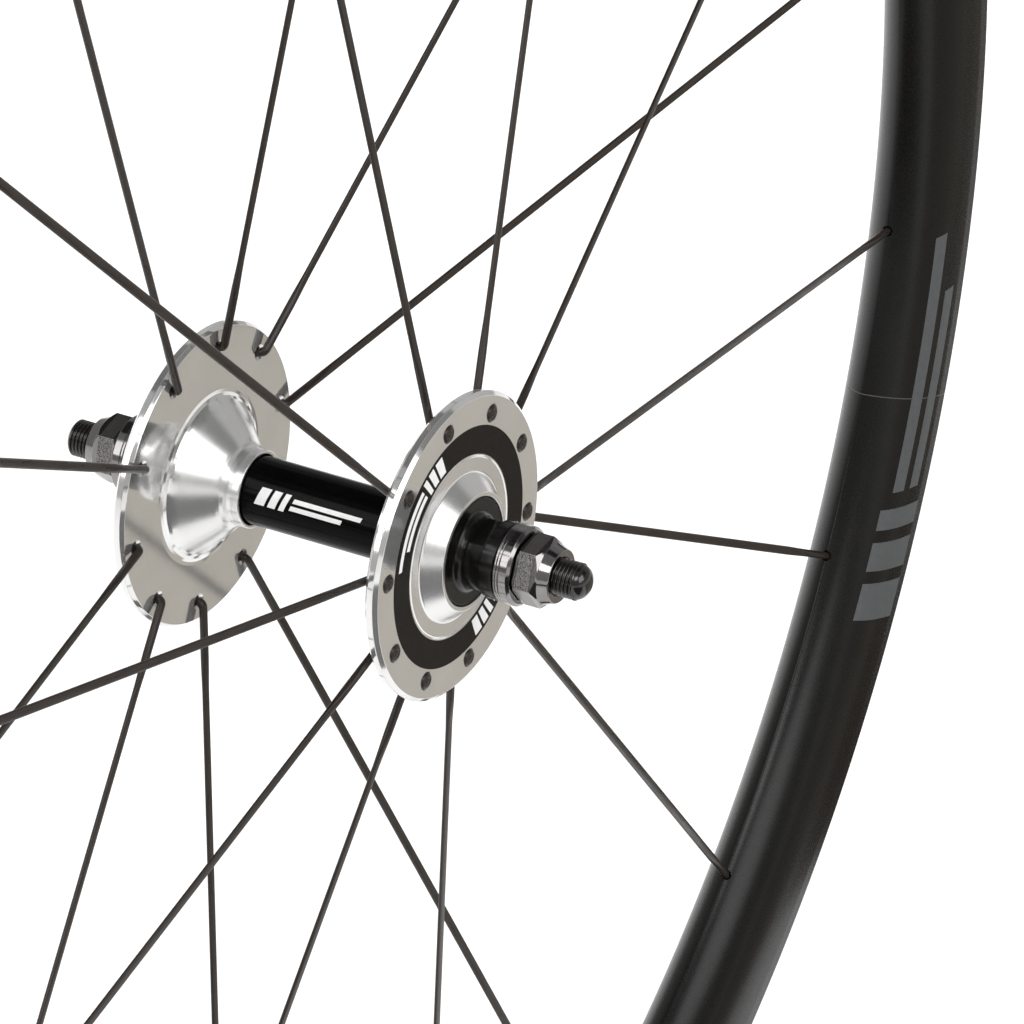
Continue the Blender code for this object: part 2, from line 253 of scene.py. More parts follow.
class Finish:
    """A procedural material: short ways to add nodes and to join them to its Principled shader."""

    def __init__(self, name, colour, roughness, metallic=0.0, **sockets):
        self.material = bpy.data.materials.new(f"{name}_finish")
        self.material.use_nodes = True
        self.tree = self.material.node_tree
        self.shader = self.tree.nodes["Principled BSDF"]
        self.shader.inputs["Base Color"].default_value = (*colour, 1.0)
        self.shader.inputs["Roughness"].default_value = roughness
        self.shader.inputs["Metallic"].default_value = metallic
        for socket, value in sockets.items():
            self.shader.inputs[socket.replace("_", " ")].default_value = value
        self.place = self.node("ShaderNodeTexCoord").outputs["Object"]

    def node(self, kind, **inputs):
        node = self.tree.nodes.new(kind)
        for name, value in inputs.items():
            self.feed(node.inputs[name.replace("_", " ")], value)
        return node

    def feed(self, socket, value):
        if isinstance(value, bpy.types.NodeSocket):
            self.tree.links.new(value, socket)
        else:
            socket.default_value = value

    def math(self, operation, *values):
        node = self.tree.nodes.new("ShaderNodeMath")
        node.operation = operation
        for socket, value in zip(node.inputs, values):
            self.feed(socket, value)
        return node.outputs[0]

    def polar(self):
        """The distance from the axle, the position along it and the angle round it (metres, radians)."""
        split = self.node("ShaderNodeSeparateXYZ", Vector=self.place)
        x, y, z = split.outputs
        squares = self.math("ADD", self.math("MULTIPLY", x, x), self.math("MULTIPLY", z, z))
        return self.math("SQRT", squares), y, self.math("ARCTAN2", z, x)

    def noise(self, scale, detail=3.0, stretch=(1, 1, 1)):
        """Noise over the object's own space, with features of about 1/scale metres."""
        mapping = self.node("ShaderNodeMapping", Vector=self.place, Scale=stretch)
        return self.node("ShaderNodeTexNoise", Vector=mapping.outputs[0], Scale=scale,
                         Detail=detail).outputs["Fac"]

    def rings(self, scale, detail=2.0):
        """Noise drawn out round the axle, as a lathe tool leaves it."""
        radius, along, angle = self.polar()
        place = self.node("ShaderNodeCombineXYZ", X=self.math("MULTIPLY", radius, scale),
                          Y=self.math("MULTIPLY", along, scale), Z=self.math("MULTIPLY", angle, 0.35))
        return self.node("ShaderNodeTexNoise", Vector=place.outputs[0], Scale=1.0,
                         Detail=detail).outputs["Fac"]

    def spread(self, value, low, high, start=0.3, end=0.7):
        """A value carried from the range start..end to the range low..high."""
        node = self.node("ShaderNodeMapRange", Value=value)
        node.inputs["From Min"].default_value = start
        node.inputs["From Max"].default_value = end
        node.inputs["To Min"].default_value = low
        node.inputs["To Max"].default_value = high
        return node.outputs[0]

    def vary_roughness(self, value, low, high):
        self.feed(self.shader.inputs["Roughness"], self.spread(value, low, high))

    def vary_colour(self, value, low, high):
        """Colour carried between two colours by a value between 0.3 and 0.7."""
        mix = self.node("ShaderNodeMix")
        mix.data_type = "RGBA"
        self.feed(mix.inputs["Factor"], self.spread(value, 0.0, 1.0))
        mix.inputs[6].default_value = (*low, 1.0)
        mix.inputs[7].default_value = (*high, 1.0)
        self.feed(self.shader.inputs["Base Color"], mix.outputs[2])
        return mix.outputs[2]

    def over(self, base, mask, colour):
        """Another colour laid over the base colour where the mask is 1."""
        mix = self.node("ShaderNodeMix")
        mix.data_type = "RGBA"
        self.feed(mix.inputs["Factor"], mask)
        self.feed(mix.inputs[6], base)
        mix.inputs[7].default_value = (*colour, 1.0)
        self.feed(self.shader.inputs["Base Color"], mix.outputs[2])

    def bump(self, height, strength, distance):
        node = self.node("ShaderNodeBump", Height=height, Strength=strength, Distance=distance)
        self.feed(self.shader.inputs["Normal"], node.outputs[0])


def make_polished_alloy():
    finish = Finish("polished_alloy", (0.80, 0.795, 0.785), 0.09, 0.86)
    finish.vary_colour(finish.noise(90), (0.78, 0.775, 0.765), (0.83, 0.825, 0.815))
    marks = finish.rings(5200)
    radius, _, _ = finish.polar()
    turned_cone = finish.spread(radius, 0.15, 0.0, 17.4 * MM, 19.6 * MM)
    finish.feed(finish.shader.inputs["Roughness"],
                finish.math("ADD", finish.spread(marks, 0.07, 0.11), turned_cone))
    finish.bump(marks, 0.10, 0.00002)
    return finish.material


def make_barrel_black():
    finish = Finish("barrel_black", (0.0016, 0.0016, 0.0016), 0.14, 0.0, Specular_IOR_Level=0.06)
    finish.vary_colour(finish.noise(240), (0.0013, 0.0013, 0.0013), (0.0022, 0.0020, 0.0019))
    finish.vary_roughness(finish.noise(900), 0.11, 0.17)
    finish.bump(finish.noise(420), 0.05, 0.0001)
    return finish.material


def make_black_anodised():
    """Satin black rim. The extrusion's joint shows as a fine bare line."""
    finish = Finish("black_anodised", (0.0036, 0.0031, 0.0026), 0.26, 0.0, Specular_IOR_Level=0.28)
    base = finish.vary_colour(finish.noise(150), (0.0030, 0.0026, 0.0022), (0.0044, 0.0038, 0.0032))
    radius, _, angle = finish.polar()
    off_seam = finish.math("ABSOLUTE", finish.math("SUBTRACT", angle, math.radians(SEAM_ANGLE)))
    line = finish.spread(finish.math("MULTIPLY", off_seam, radius), 1.0, 0.0, 0.00008, 0.0002)
    finish.over(base, line, (0.09, 0.078, 0.066))
    finish.vary_roughness(finish.noise(1400), 0.23, 0.29)
    finish.bump(finish.noise(4200), 0.12, 0.00006)
    return finish.material


def make_spoke_black():
    """Blackened drawn wire: faint streaks along the spoke."""
    finish = Finish("spoke_black", (0.020, 0.014, 0.011), 0.3, 0.0, Specular_IOR_Level=0.35)
    streaks = finish.noise(900, 3.0, (0.03, 1, 1))
    finish.vary_colour(streaks, (0.015, 0.0105, 0.0085), (0.028, 0.0205, 0.0165))
    finish.vary_roughness(streaks, 0.24, 0.38)
    finish.bump(finish.noise(2600, 2.0, (0.08, 1, 1)), 0.10, 0.00004)
    return finish.material


def corner_angle(side):
    """The angle round the axle of one corner of the nut on that side, in degrees."""
    corner = max(node_points(f"track_nut_{SIDE_NAMES[side]}"), key=lambda p: p.x ** 2 + p.z ** 2)
    return math.degrees(math.atan2(corner.z, corner.x))


def forged_flat(side):
    """The angle round the axle of the nut's flat that was left as forged, in degrees."""
    first = corner_angle(side) + 30.0
    return first + 60.0 * round((FORGED_ANGLE - first) / 60.0)


def make_chrome():
    """Dark plating over turned and forged steel: two opposite flats of each nut keep a pitted grain."""
    finish = Finish("chrome", (0.27, 0.258, 0.255), 0.12, 1.0)
    base = finish.vary_colour(finish.noise(300), (0.25, 0.238, 0.235), (0.29, 0.278, 0.275))
    _, along, angle = finish.polar()
    out = finish.math("ABSOLUTE", along)
    above_foot = finish.spread(out, 0.0, 1.0, (NUT_LOW + 0.5) * MM, (NUT_LOW + 0.9) * MM)
    below_nose = finish.spread(out, 1.0, 0.0, (HEX_END - 0.4) * MM, HEX_END * MM)
    on_flats = finish.math("MULTIPLY", above_foot, below_nose)
    turned_marks = finish.spread(finish.rings(6500), 0.07, 0.15)
    finish.feed(finish.shader.inputs["Roughness"],
                finish.math("ADD", turned_marks, finish.spread(on_flats, 0.0, 0.2, 0.0, 1.0)))
    near_flat, far_flat = math.radians(forged_flat(NEAR)), math.radians(forged_flat(FAR))
    turned_from = finish.math("SUBTRACT", angle, finish.spread(along, near_flat, far_flat, -MM, MM))
    facing = finish.math("COSINE", finish.math("MULTIPLY", turned_from, 2.0))
    forged = finish.math("MULTIPLY", finish.spread(facing, 0.0, 1.0, 0.46, 0.54), on_flats)
    speckle = finish.noise(3300, 2.0)
    pits = finish.math("MULTIPLY", finish.spread(speckle, 1.0, 0.0, 0.42, 0.56), forged)
    finish.over(base, finish.math("MULTIPLY", pits, 0.9), (0.045, 0.043, 0.043))
    grain = finish.math("MULTIPLY", speckle, finish.math("ADD", forged, 0.05))
    finish.bump(grain, 0.8, 0.00012)
    return finish.material


def make_black_oxide():
    """Blackened steel, coloured a little lighter on the crests of the threads as a painted highlight."""
    finish = Finish("black_oxide", (0.006, 0.0045, 0.004), 0.2, 0.0, Specular_IOR_Level=0.75)
    base = finish.vary_colour(finish.noise(500), (0.0045, 0.0034, 0.003), (0.0085, 0.0062, 0.0054))
    radius, _, _ = finish.polar()
    # painted highlight: the thread crests get a lighter colour that stands for the bright line each crest
    # catches
    crest = finish.spread(radius, 0.0, 0.5, (THREAD_RADIUS - 0.10) * MM, (THREAD_RADIUS + 0.02) * MM)
    finish.over(base, crest, (0.022, 0.016, 0.014))
    finish.vary_roughness(finish.noise(1400), 0.12, 0.17)
    finish.bump(finish.noise(1600), 0.02, 0.00003)
    return finish.material


def make_cap_black():
    finish = Finish("cap_black", (0.004, 0.0036, 0.0033), 0.22, 0.0, Specular_IOR_Level=0.28)
    finish.vary_colour(finish.noise(400), (0.003, 0.0027, 0.0025), (0.0055, 0.005, 0.0045))
    marks = finish.rings(4200)
    finish.vary_roughness(marks, 0.12, 0.20)
    finish.bump(marks, 0.05, 0.00003)
    return finish.material


def make_label_ink():
    finish = Finish("label_ink", (0.0095, 0.0075, 0.0060), 0.38, Specular_IOR_Level=0.1)
    finish.vary_colour(finish.noise(500), (0.0085, 0.0067, 0.0053), (0.0112, 0.0090, 0.0072))
    finish.vary_roughness(finish.noise(1500), 0.32, 0.44)
    finish.bump(finish.noise(2400), 0.06, 0.00004)
    return finish.material


def make_mark(name, low, high, roughness):
    """Printed ink of the plain stripe marks."""
    finish = Finish(name, high, roughness)
    finish.vary_colour(finish.noise(600), low, high)
    finish.vary_roughness(finish.noise(1300), roughness - 0.06, roughness + 0.06)
    return finish.material


def make_plain_metal(name, low, high, roughness, scale):
    """Turned metal of the inner parts."""
    finish = Finish(name, high, roughness, 1.0)
    finish.vary_colour(finish.noise(scale), low, high)
    marks = finish.rings(scale * 9)
    finish.vary_roughness(marks, roughness - 0.05, roughness + 0.06)
    finish.bump(marks, 0.1, 0.00003)
    return finish.material


finishes = {
    "polished_alloy": make_polished_alloy(),
    "barrel_black": make_barrel_black(),
    "black_anodised": make_black_anodised(),
    "spoke_black": make_spoke_black(),
    "chrome": make_chrome(),
    "black_oxide": make_black_oxide(),
    "cap_black": make_cap_black(),
    "label_ink": make_label_ink(),
    "mark_white": make_mark("mark_white", (0.80, 0.80, 0.79), (0.88, 0.88, 0.87), 0.4),
    "mark_grey": make_mark("mark_grey", (0.062, 0.068, 0.071), (0.074, 0.080, 0.083), 0.45),
    "nipple_alloy": make_plain_metal("nipple_alloy", (0.50, 0.50, 0.51), (0.60, 0.60, 0.61), 0.32, 700),
    "bearing_steel": make_plain_metal("bearing_steel", (0.52, 0.52, 0.53), (0.60, 0.60, 0.61), 0.15, 800),
    "cage_brass": make_plain_metal("cage_brass", (0.55, 0.40, 0.17), (0.64, 0.48, 0.22), 0.3, 700),
}


# rim --------------------------------------------------------------------------------------------

def bed_half_width(radius):
    """Half the rim's width at a distance from the axle: nearly flat sides that run round into the bed."""
    depth = min(1.0, max(0.0, (LIP_RADIUS - radius) / (LIP_RADIUS - BED_RADIUS)))
    return RIM_HALF_WIDTH * (1 - depth ** 3) ** 0.75


def rim_outline():
    """Section of the rim from the tyre well, over the hook and side, to the bed, and back."""
    seat, well = RIM_RADIUS - 5.5, RIM_RADIUS - 8.1
    lip_half_width = RIM_HALF_WIDTH - 0.22
    half = [(well, 0.0, 0), (well, 4.4, 1.0), (seat, 6.8, 0.8), (seat, 9.9, 0.5),
            (RIM_RADIUS - 2.6, 10.2, 0.5), (RIM_RADIUS - 1.3, 9.6, 0.3), (RIM_RADIUS, 9.9, 0.35),
            (RIM_RADIUS, lip_half_width, 0.5), (LIP_RADIUS, RIM_HALF_WIDTH, 0)]
    upper = supported(rounded(half, closed=False), closed=False)
    bed_steps = 40
    for i in range(1, bed_steps + 1):
        radius = BED_RADIUS + (LIP_RADIUS - BED_RADIUS) * (1 - i / bed_steps) ** 1.6
        upper.append(Vector((radius, bed_half_width(radius))))
    lower = [Vector((p.x, -p.y)) for p in reversed(upper[1:-1])]
    return upper + lower


def shrunk(outline, amount):
    """The outline moved in along its own normals."""
    area = sum(a.x * b.y - b.x * a.y for a, b in zip(outline, outline[1:] + outline[:1]))
    sign = 1 if area > 0 else -1
    result = []
    for i, here in enumerate(outline):
        along = (outline[(i + 1) % len(outline)] - outline[i - 1]).normalized()
        result.append(here + Vector((-along.y, along.x)) * amount * sign)
    return result


def build_rim():
    outline = rim_outline()
    groove = shrunk(outline, 0.09)
    half_width, shoulder, steps = 0.09, 0.2, 360
    to_degrees = math.degrees(1 / RIM_RADIUS)
    stations = [(-shoulder * to_degrees, outline), (-half_width * to_degrees, groove),
                (half_width * to_degrees, groove)]
    start = shoulder * to_degrees
    stations += [(start + (360.0 - 2 * start) * i / steps, outline) for i in range(steps)]
    bm = bmesh.new()
    rings = []
    for angle, points in stations:
        rings.append([bm.verts.new(wheel_point(SEAM_ANGLE + angle, p.x, p.y)) for p in points])
    skin(bm, rings)
    rim = new_object("rim_detail", bm)

    chamber_half = [(RIM_RADIUS - 9.6, 0.0, 0), (RIM_RADIUS - 9.6, 4.2, 0.6), (RIM_RADIUS - 7.2, 9.7, 0.6),
                    (RIM_RADIUS - 18.9, 7.6, 2.0), (BED_RADIUS + 3.1, 2.9, 1.5), (BED_RADIUS + 2.2, 0.0, 0)]
    upper = rounded(chamber_half, closed=False)
    chamber_outline = upper + [Vector((p.x, -p.y)) for p in reversed(upper[1:-1])]
    bm = bmesh.new()
    rings = []
    for i in range(180):
        rings.append([bm.verts.new(wheel_point(2.0 * i, p.x, p.y)) for p in chamber_outline])
    skin(bm, rings)
    cut(rim, new_object("rim_chamber", bm))

    spoke_hole, tool_hole, valve_hole = 1.45, 4.0, 3.25
    bed_runs, tool_runs = [], []
    for side, spokes in SPOKES.items():
        for _, angle in spokes:
            inner = wheel_point(angle, BED_RADIUS - 4, side * spoke_out(BED_RADIUS - 4))
            outer = wheel_point(angle, BED_RADIUS + 6, side * spoke_out(BED_RADIUS + 6))
            bed_runs.append((inner, outer, spoke_hole, spoke_hole))
            well = wheel_point(angle, RIM_RADIUS - 12, 0)
            tool_runs.append((well, wheel_point(angle, RIM_RADIUS, 0), tool_hole, tool_hole))
    under_valve = wheel_point(VALVE_ANGLE, BED_RADIUS - 4, 0)
    bed_runs.append((under_valve, wheel_point(VALVE_ANGLE, RIM_RADIUS, 0), valve_hole, valve_hole))
    cut(rim, drills("rim_drills", bed_runs))
    cut(rim, drills("tool_drills", tool_runs))
    dress(rim, "black_anodised", "rim")


# spokes -----------------------------------------------------------------------------------------

def spoke_out(radius):
    """A spoke's distance from the wheel's middle plane at that distance from the axle."""
    return SPOKE_PLANE - SPOKE_LEAN * (radius - HOLE_CIRCLE)


def blend(value, start, end):
    """0 before start, 1 after end, smooth in between."""
    t = min(1.0, max(0.0, (value - start) / (end - start)))
    return t * t * (3 - 2 * t)


def spoke_stations():
    """Centre, direction, half width, half depth and section power of a spoke, from its head to its tip."""
    wire = 1.0
    stations = []
    down = Vector((0, 0, -1))
    stud = [(36.62, 0.0), (36.60, 0.38), (36.54, 0.66), (36.42, 0.76), (36.38, 0.86)]
    dish = [(36.42, 0.98), (36.50, 1.12), (36.46, 1.45), (36.30, 1.84), (36.06, 2.07), (35.84, 2.12)]
    underside = [(35.60, 2.02), (34.95, 1.12), (34.7, wire)]
    for out, radius in stud + dish + underside:
        stations.append((Vector((HOLE_CIRCLE, 0, out)), down, radius, radius, 2.0))
    bend_radius = 1.35
    lean_angle = math.atan(SPOKE_LEAN)
    bend_start = (SPOKE_PLANE - SPOKE_LEAN * bend_radius * (1 - math.sin(lean_angle))
                  + bend_radius * math.cos(lean_angle))
    centre = Vector((HOLE_CIRCLE + bend_radius, 0, bend_start))
    bend_steps = 10
    for i in range(bend_steps + 1):
        turn = (math.pi / 2 - lean_angle) * i / bend_steps
        arm = Vector((-math.cos(turn), 0, -math.sin(turn))) * bend_radius
        direction = Vector((math.sin(turn), 0, -math.cos(turn)))
        stations.append((centre + arm, direction, wire, wire, 2.0))
    run = Vector((1, 0, -SPOKE_LEAN)).normalized()
    radii = [36, 40, 44] + [45 + i for i in range(11)] + [62, 80, 110, 150, 190, 230, 262]
    radii += [266 + i for i in range(13)] + [282, BED_RADIUS, SPOKE_TIP]
    for radius in radii:
        bladed = blend(radius, 44, 55) * (1 - blend(radius, 266, 278))
        stations.append((Vector((radius, 0, spoke_out(radius))), run, wire + 0.15 * bladed,
                         wire - 0.55 * bladed, 2.0 + 1.6 * bladed))
    return stations


def spoke_mesh():
    """A spoke in its own frame: X away from the axle, Y across, Z out of the hub on its side."""
    across = Vector((0, 1, 0))
    sides = 24
    bm = bmesh.new()
    rings = []
    for centre, direction, half_width, half_depth, power in spoke_stations():
        depth = direction.cross(across).normalized()
        ring = []
        for i in range(sides):
            turn = math.tau * i / sides
            c, s = math.cos(turn), math.sin(turn)
            x = math.copysign(abs(c) ** (2 / power), c) * half_width
            z = math.copysign(abs(s) ** (2 / power), s) * half_depth
            ring.append(bm.verts.new((centre + across * x + depth * z) * MM))
        rings.append(ring)
    skin(bm, rings, closed_round=False)
    bm.faces.new(rings[-1])
    return new_object("spoke_pattern", bm)


def nipple_mesh():
    """A nipple round local Z: square-cornered drive, then a round neck."""
    bm = bmesh.new()
    corners = rounded([(1.3, 0.0, 0), (2.3, 0.0, 0.3), (2.3, 5.5, 0.3), (1.9, 6.2, 0.2), (1.9, 9.5, 0.3),
                       (1.3, 9.5, 0)], closed=False)
    rings = []
    for i in range(36):
        turn = math.tau * i / 36
        flat = 2.0 / max(abs(math.cos(turn)), abs(math.sin(turn)))
        ring = []
        for p in corners:
            radius = min(p.x, flat) if p.y < 5.8 else p.x
            ring.append(bm.verts.new(Vector((radius * math.cos(turn), radius * math.sin(turn), p.y)) * MM))
        rings.append(ring)
    skin(bm, rings)
    return new_object("nipple_pattern", bm)


def build_spokes():
    spoke_pattern, nipple_pattern = spoke_mesh(), nipple_mesh()
    for side, spokes in SPOKES.items():
        for node, angle in spokes:
            spoke = bpy.data.objects.new(f"{node}_detail", spoke_pattern.data)
            bpy.context.scene.collection.objects.link(spoke)
            spoke.matrix_world = axis_frame(side, angle)
            dress(spoke, "spoke_black", node)
            nipple_node = node.replace("spoke", "nipple")
            seat = wheel_point(angle, BED_RADIUS + 3.5, side * spoke_out(BED_RADIUS + 3.5))
            run = wheel_point(angle, SPOKE_TIP, side * spoke_out(SPOKE_TIP)) - seat
            nipple = bpy.data.objects.new(f"{nipple_node}_detail", nipple_pattern.data)
            bpy.context.scene.collection.objects.link(nipple)
            turn = run.to_track_quat("Z", "Y").to_matrix().to_4x4()
            nipple.matrix_world = Matrix.Translation(seat) @ turn
            dress(nipple, "nipple_alloy", nipple_node)
    for pattern in (spoke_pattern, nipple_pattern):
        bpy.data.objects.remove(pattern)


# hub --------------------------------------------------------------------------------------------

def build_flange(side):
    name = f"hub_flange_{SIDE_NAMES[side]}"
    bore = [(8.6, COLLAR_END, 0.3), (8.6, 26.8, 0.2), (7.2, 26.8, 0.2), (7.2, 30.5, 0.2), (13.3, 30.5, 0.2)]
    lip = [(13.3, LIP_FACE, 0.15), (14.25, LIP_FACE, 0.3), (18.1, FLANGE_FACE, 1.3)]
    groove = [(21.45, FLANGE_FACE, 0.05), (21.75, FLANGE_FACE - 0.16, 0.05), (22.05, FLANGE_FACE, 0.05)]
    edge = [(FLANGE_RADIUS - 1.0, FLANGE_FACE, 0.25), (FLANGE_RADIUS, 35.0, 0.3),
            (FLANGE_RADIUS, 33.5, 0.3), (FLANGE_RADIUS - 0.8, FLANGE_BACK, 0.25)]
    cone = [(20.2, FLANGE_BACK, 4.5), (9.7, 22.6, 5.0), (9.5, COLLAR_END, 0.35)]
    flange = turned(f"{name}_detail", bore + lip + groove + edge + cone, side, steps=300)
    holes, sinks = [], []
    for _, angle in SPOKES[side]:
        def at(out):
            return wheel_point(angle, HOLE_CIRCLE, side * out)
        holes.append((at(FLANGE_BACK - 2), at(FLANGE_FACE + 2), HOLE_RADIUS, HOLE_RADIUS))
        sinks.append((at(FLANGE_FACE - 1.2), at(FLANGE_FACE + 1.0), 1.3, 3.1))
        sinks.append((at(FLANGE_BACK + 0.7), at(FLANGE_BACK - 1.3), 1.3, 3.3))
    cut(flange, drills("flange_holes", holes))
    cut(flange, drills("flange_sinks", sinks, sides=48))
    dress(flange, "polished_alloy", name)


def build_label(side):
    """Printed band on the flange's outer face."""
    low, high = FLANGE_FACE - 0.1, FLANGE_FACE + 0.02
    corners = [(LABEL_OUTER, low, 0), (LABEL_OUTER, high, 0), (LABEL_INNER, high, 0), (LABEL_INNER, low, 0)]
    band = turned(f"label_band_{SIDE_NAMES[side]}", corners, side, steps=240)
    dress(band, "label_ink", body="wheel")


def plate(bm, surface, start, end, low, high, slant, columns):
    """A thin closed plate lying on surface(along, across, lift), its ends slanted."""
    rows = math.ceil(28 * (high - low))
    layers = []
    for lift in (0.03, -0.05):
        grid = []
        for i in range(columns + 1):
            across = [low + (high - low) * j / rows for j in range(rows + 1)]
            along = start + (end - start) * i / columns
            grid.append([bm.verts.new(surface(along + slant * h, h, lift)) for h in across])
        layers.append(grid)
    top, bottom = layers
    for grid in layers:
        skin(bm, grid, closed_rings=False, closed_round=False)
    for j in (0, rows):
        edges = [[row[j] for row in grid] for grid in layers]
        skin(bm, edges, closed_rings=False, closed_round=False)
    for i in (0, columns):
        skin(bm, [top[i], bottom[i]], closed_rings=False, closed_round=False)


def stripe_mark(name, surface, finish, turn=1.0):
    """Two plain marks, half a turn apart: each is three slanted bars and two long stripes, along 0..1."""
    bm = bmesh.new()
    for shift in (0.0, 180.0):
        def shifted(along, across, lift, shift=shift):
            return surface(along, across, lift, shift)
        for start, end in ((0.0, 0.09), (0.12, 0.19), (0.22, 0.27)):
            plate(bm, shifted, start, end, 0.0, 1.0, 0.05 * turn, columns=6)
        plate(bm, shifted, 0.31, 0.93, 0.58, 0.84, 0.05 * turn, columns=40)
        plate(bm, shifted, 0.31, 0.78, 0.16, 0.42, 0.05 * turn, columns=30)
    mark = new_object(name, bm)
    dress(mark, finish, body="wheel")


def on_label(side):
    def surface(along, across, lift, shift):
        angle = 104.0 + 67.0 * along + shift
        if side == FAR:
            angle = 180.0 - angle
        radius = LABEL_OUTER - 0.9 - (LABEL_OUTER - LABEL_INNER - 1.8) * (1 - across)
        return wheel_point(angle, radius, side * (FLANGE_FACE + 0.02 + lift))
    return surface


def on_barrel(along, across, lift, shift):
    return wheel_point(171.0 - 30.0 * across + shift, BARREL_RADIUS + lift, 14.9 - 29.8 * along)


def on_rim(side):
    def surface(along, across, lift, shift):
        radius = RIM_RADIUS - 4.0 - 17.0 * across
        angle = -30.6 + 22.0 * along + shift
        if side == FAR:
            angle = 180.0 - angle
        half = bed_half_width(radius)
        slope = (bed_half_width(radius + 0.1) - bed_half_width(radius - 0.1)) / 0.2
        normal = Vector((-slope, 1.0)).normalized() * lift
        return wheel_point(angle, radius + normal.x, side * (half + normal.y))
    return surface


def build_barrel():
    corners = [(6.9, -BARREL_END, 0.2), (BARREL_RADIUS, -BARREL_END, 0.2), (BARREL_RADIUS, BARREL_END, 0.2),
               (6.9, BARREL_END, 0.2)]
    dress(turned("hub_barrel_detail", corners), "barrel_black", "hub_barrel")
    stripe_mark("barrel_mark", on_barrel, "mark_white")


def build_bearing(side):
    name = SIDE_NAMES[side]
    middle = (RACE_LOW + RACE_HIGH) / 2
    ball, ball_circle = 1.8, 9.15
    outer = [(11.3, RACE_LOW, 0.2), (13.0, RACE_LOW, 0.3), (13.0, RACE_HIGH, 0.3), (11.3, RACE_HIGH, 0.2),
             (11.3, middle + 1.2, 0.1), (11.6, middle, 1.0), (11.3, middle - 1.2, 0.1)]
    inner = [(7.0, RACE_LOW, 0.2), (7.0, middle - 1.2, 0.1), (6.7, middle, 1.0), (7.0, middle + 1.2, 0.1),
             (7.0, RACE_HIGH, 0.2), (5.0, RACE_HIGH, 0.3), (5.0, RACE_LOW, 0.3)]
    cage = [(8.4, middle - 1.2, 0.2), (9.9, middle - 1.2, 0.2), (9.9, middle + 1.2, 0.2),
            (8.4, middle + 1.2, 0.2)]
    pieces = (("outer_race", outer, "bearing_steel"), ("inner_race", inner, "bearing_steel"),
              ("cage", cage, "cage_brass"))
    for part, corners, finish in pieces:
        piece = turned(f"bearing_{part}_{name}_detail", corners, side, steps=120)
        dress(piece, finish, f"bearing_{part}_{name}")
    bm = bmesh.new()
    for i in range(7):
        centre = wheel_point(360.0 * i / 7, ball_circle, side * middle)
        bmesh.ops.create_icosphere(bm, subdivisions=3, radius=ball * MM, matrix=Matrix.Translation(centre))
    balls = new_object(f"bearing_balls_{name}", bm)
    dress(balls, "bearing_steel", body=BODY_OF[f"bearing_cage_{name}"])


# axle and what is on it -------------------------------------------------------------------------

def thread_offset(along, turn, start, end):
    """How far a thread's surface lies under its crest, fading out at both ends of the thread."""
    phase = (along / THREAD_PITCH - turn / math.tau) % 1.0
    fade = blend(along, start, start + 0.6) * (1 - blend(along, end - 0.6, end))
    return THREAD_DEPTH * blend(abs(2 * phase - 1), 0.08, 0.88) * fade


def build_axle():
    """Shouldered axle with a rolled thread at each end, a domed near tip and a flat far tip."""
    shoulder = RACE_LOW - 0.4
    thread_end = {FAR: AXLE_END[FAR] - 0.8, NEAR: AXLE_END[NEAR] - 3.0}
    body = [(4.7, 50.4), (4.7, shoulder), (6.2, shoulder - 0.05)]
    profile = []                                # (radius, position along the axle, threaded)
    for side in (FAR, NEAR):
        half = []
        end = AXLE_END[side]
        if side == FAR:
            half += [(0.0, end, False), (3.5, end, False), (3.75, end - 0.08, False),
                     (4.4, end - 0.7, False)]
        else:
            for i in range(13):
                t = math.pi / 2 * i / 12
                half.append((4.15 * math.sin(t), end - 3.0 + 3.0 * math.cos(t), False))
            half.append((4.3, end - 3.1, False))
        along = thread_end[side]
        while along > THREAD_START:
            half.append((THREAD_RADIUS, along, True))
            along -= THREAD_PITCH / 12
        half += [(radius, out, False) for radius, out in body]
        signed = [(radius, side * out, threaded) for radius, out, threaded in half]
        profile += signed if side == FAR else list(reversed(signed))
    steps = 72
    bm = bmesh.new()
    rings = []
    for i in range(steps):
        turn = math.tau * i / steps
        ring = []
        for radius, along, threaded in profile:
            if threaded:
                side = FAR if along > 0 else NEAR
                radius -= thread_offset(abs(along), turn * side, THREAD_START, thread_end[side])
            ring.append(bm.verts.new(wheel_point(math.degrees(turn), radius, along)))
        rings.append(ring)
    skin(bm, rings, closed_rings=False)
    dress(new_object("axle_detail", bm, math.radians(75)), "black_oxide", "axle")


def block(name, low, high):
    """A box cutter between two corners, in millimetres."""
    low, high = Vector(low) * MM, Vector(high) * MM
    bm = bmesh.new()
    size = Matrix.Diagonal((*(high - low), 1.0))
    bmesh.ops.create_cube(bm, size=1.0, matrix=Matrix.Translation((low + high) / 2) @ size)
    return new_object(name, bm)


def build_end_cap(side):
    name = f"end_cap_{SIDE_NAMES[side]}"
    bore = 5.0
    corners = [(9.4, LOCKNUT_FACE, 0.35), (9.4, 46.5, 0.3), (8.5, 46.1, 0.15), (8.5, 39.8, 1.9),
               (12.95, 39.8, 0.35), (12.95, CAP_INNER_END, 0.15), (bore, CAP_INNER_END, 0),
               (bore, LOCKNUT_FACE, 0.2)]
    cap = turned(f"{name}_detail", corners, side, steps=180)
    for level in (1, -1):
        outs = sorted((side * 42.3, side * 47.0))
        heights = sorted((level * 6.0, level * 12.0))
        cut(cap, block("flat", (-12, outs[0], heights[0]), (12, outs[1], heights[1])))
    dress(cap, "cap_black", name)


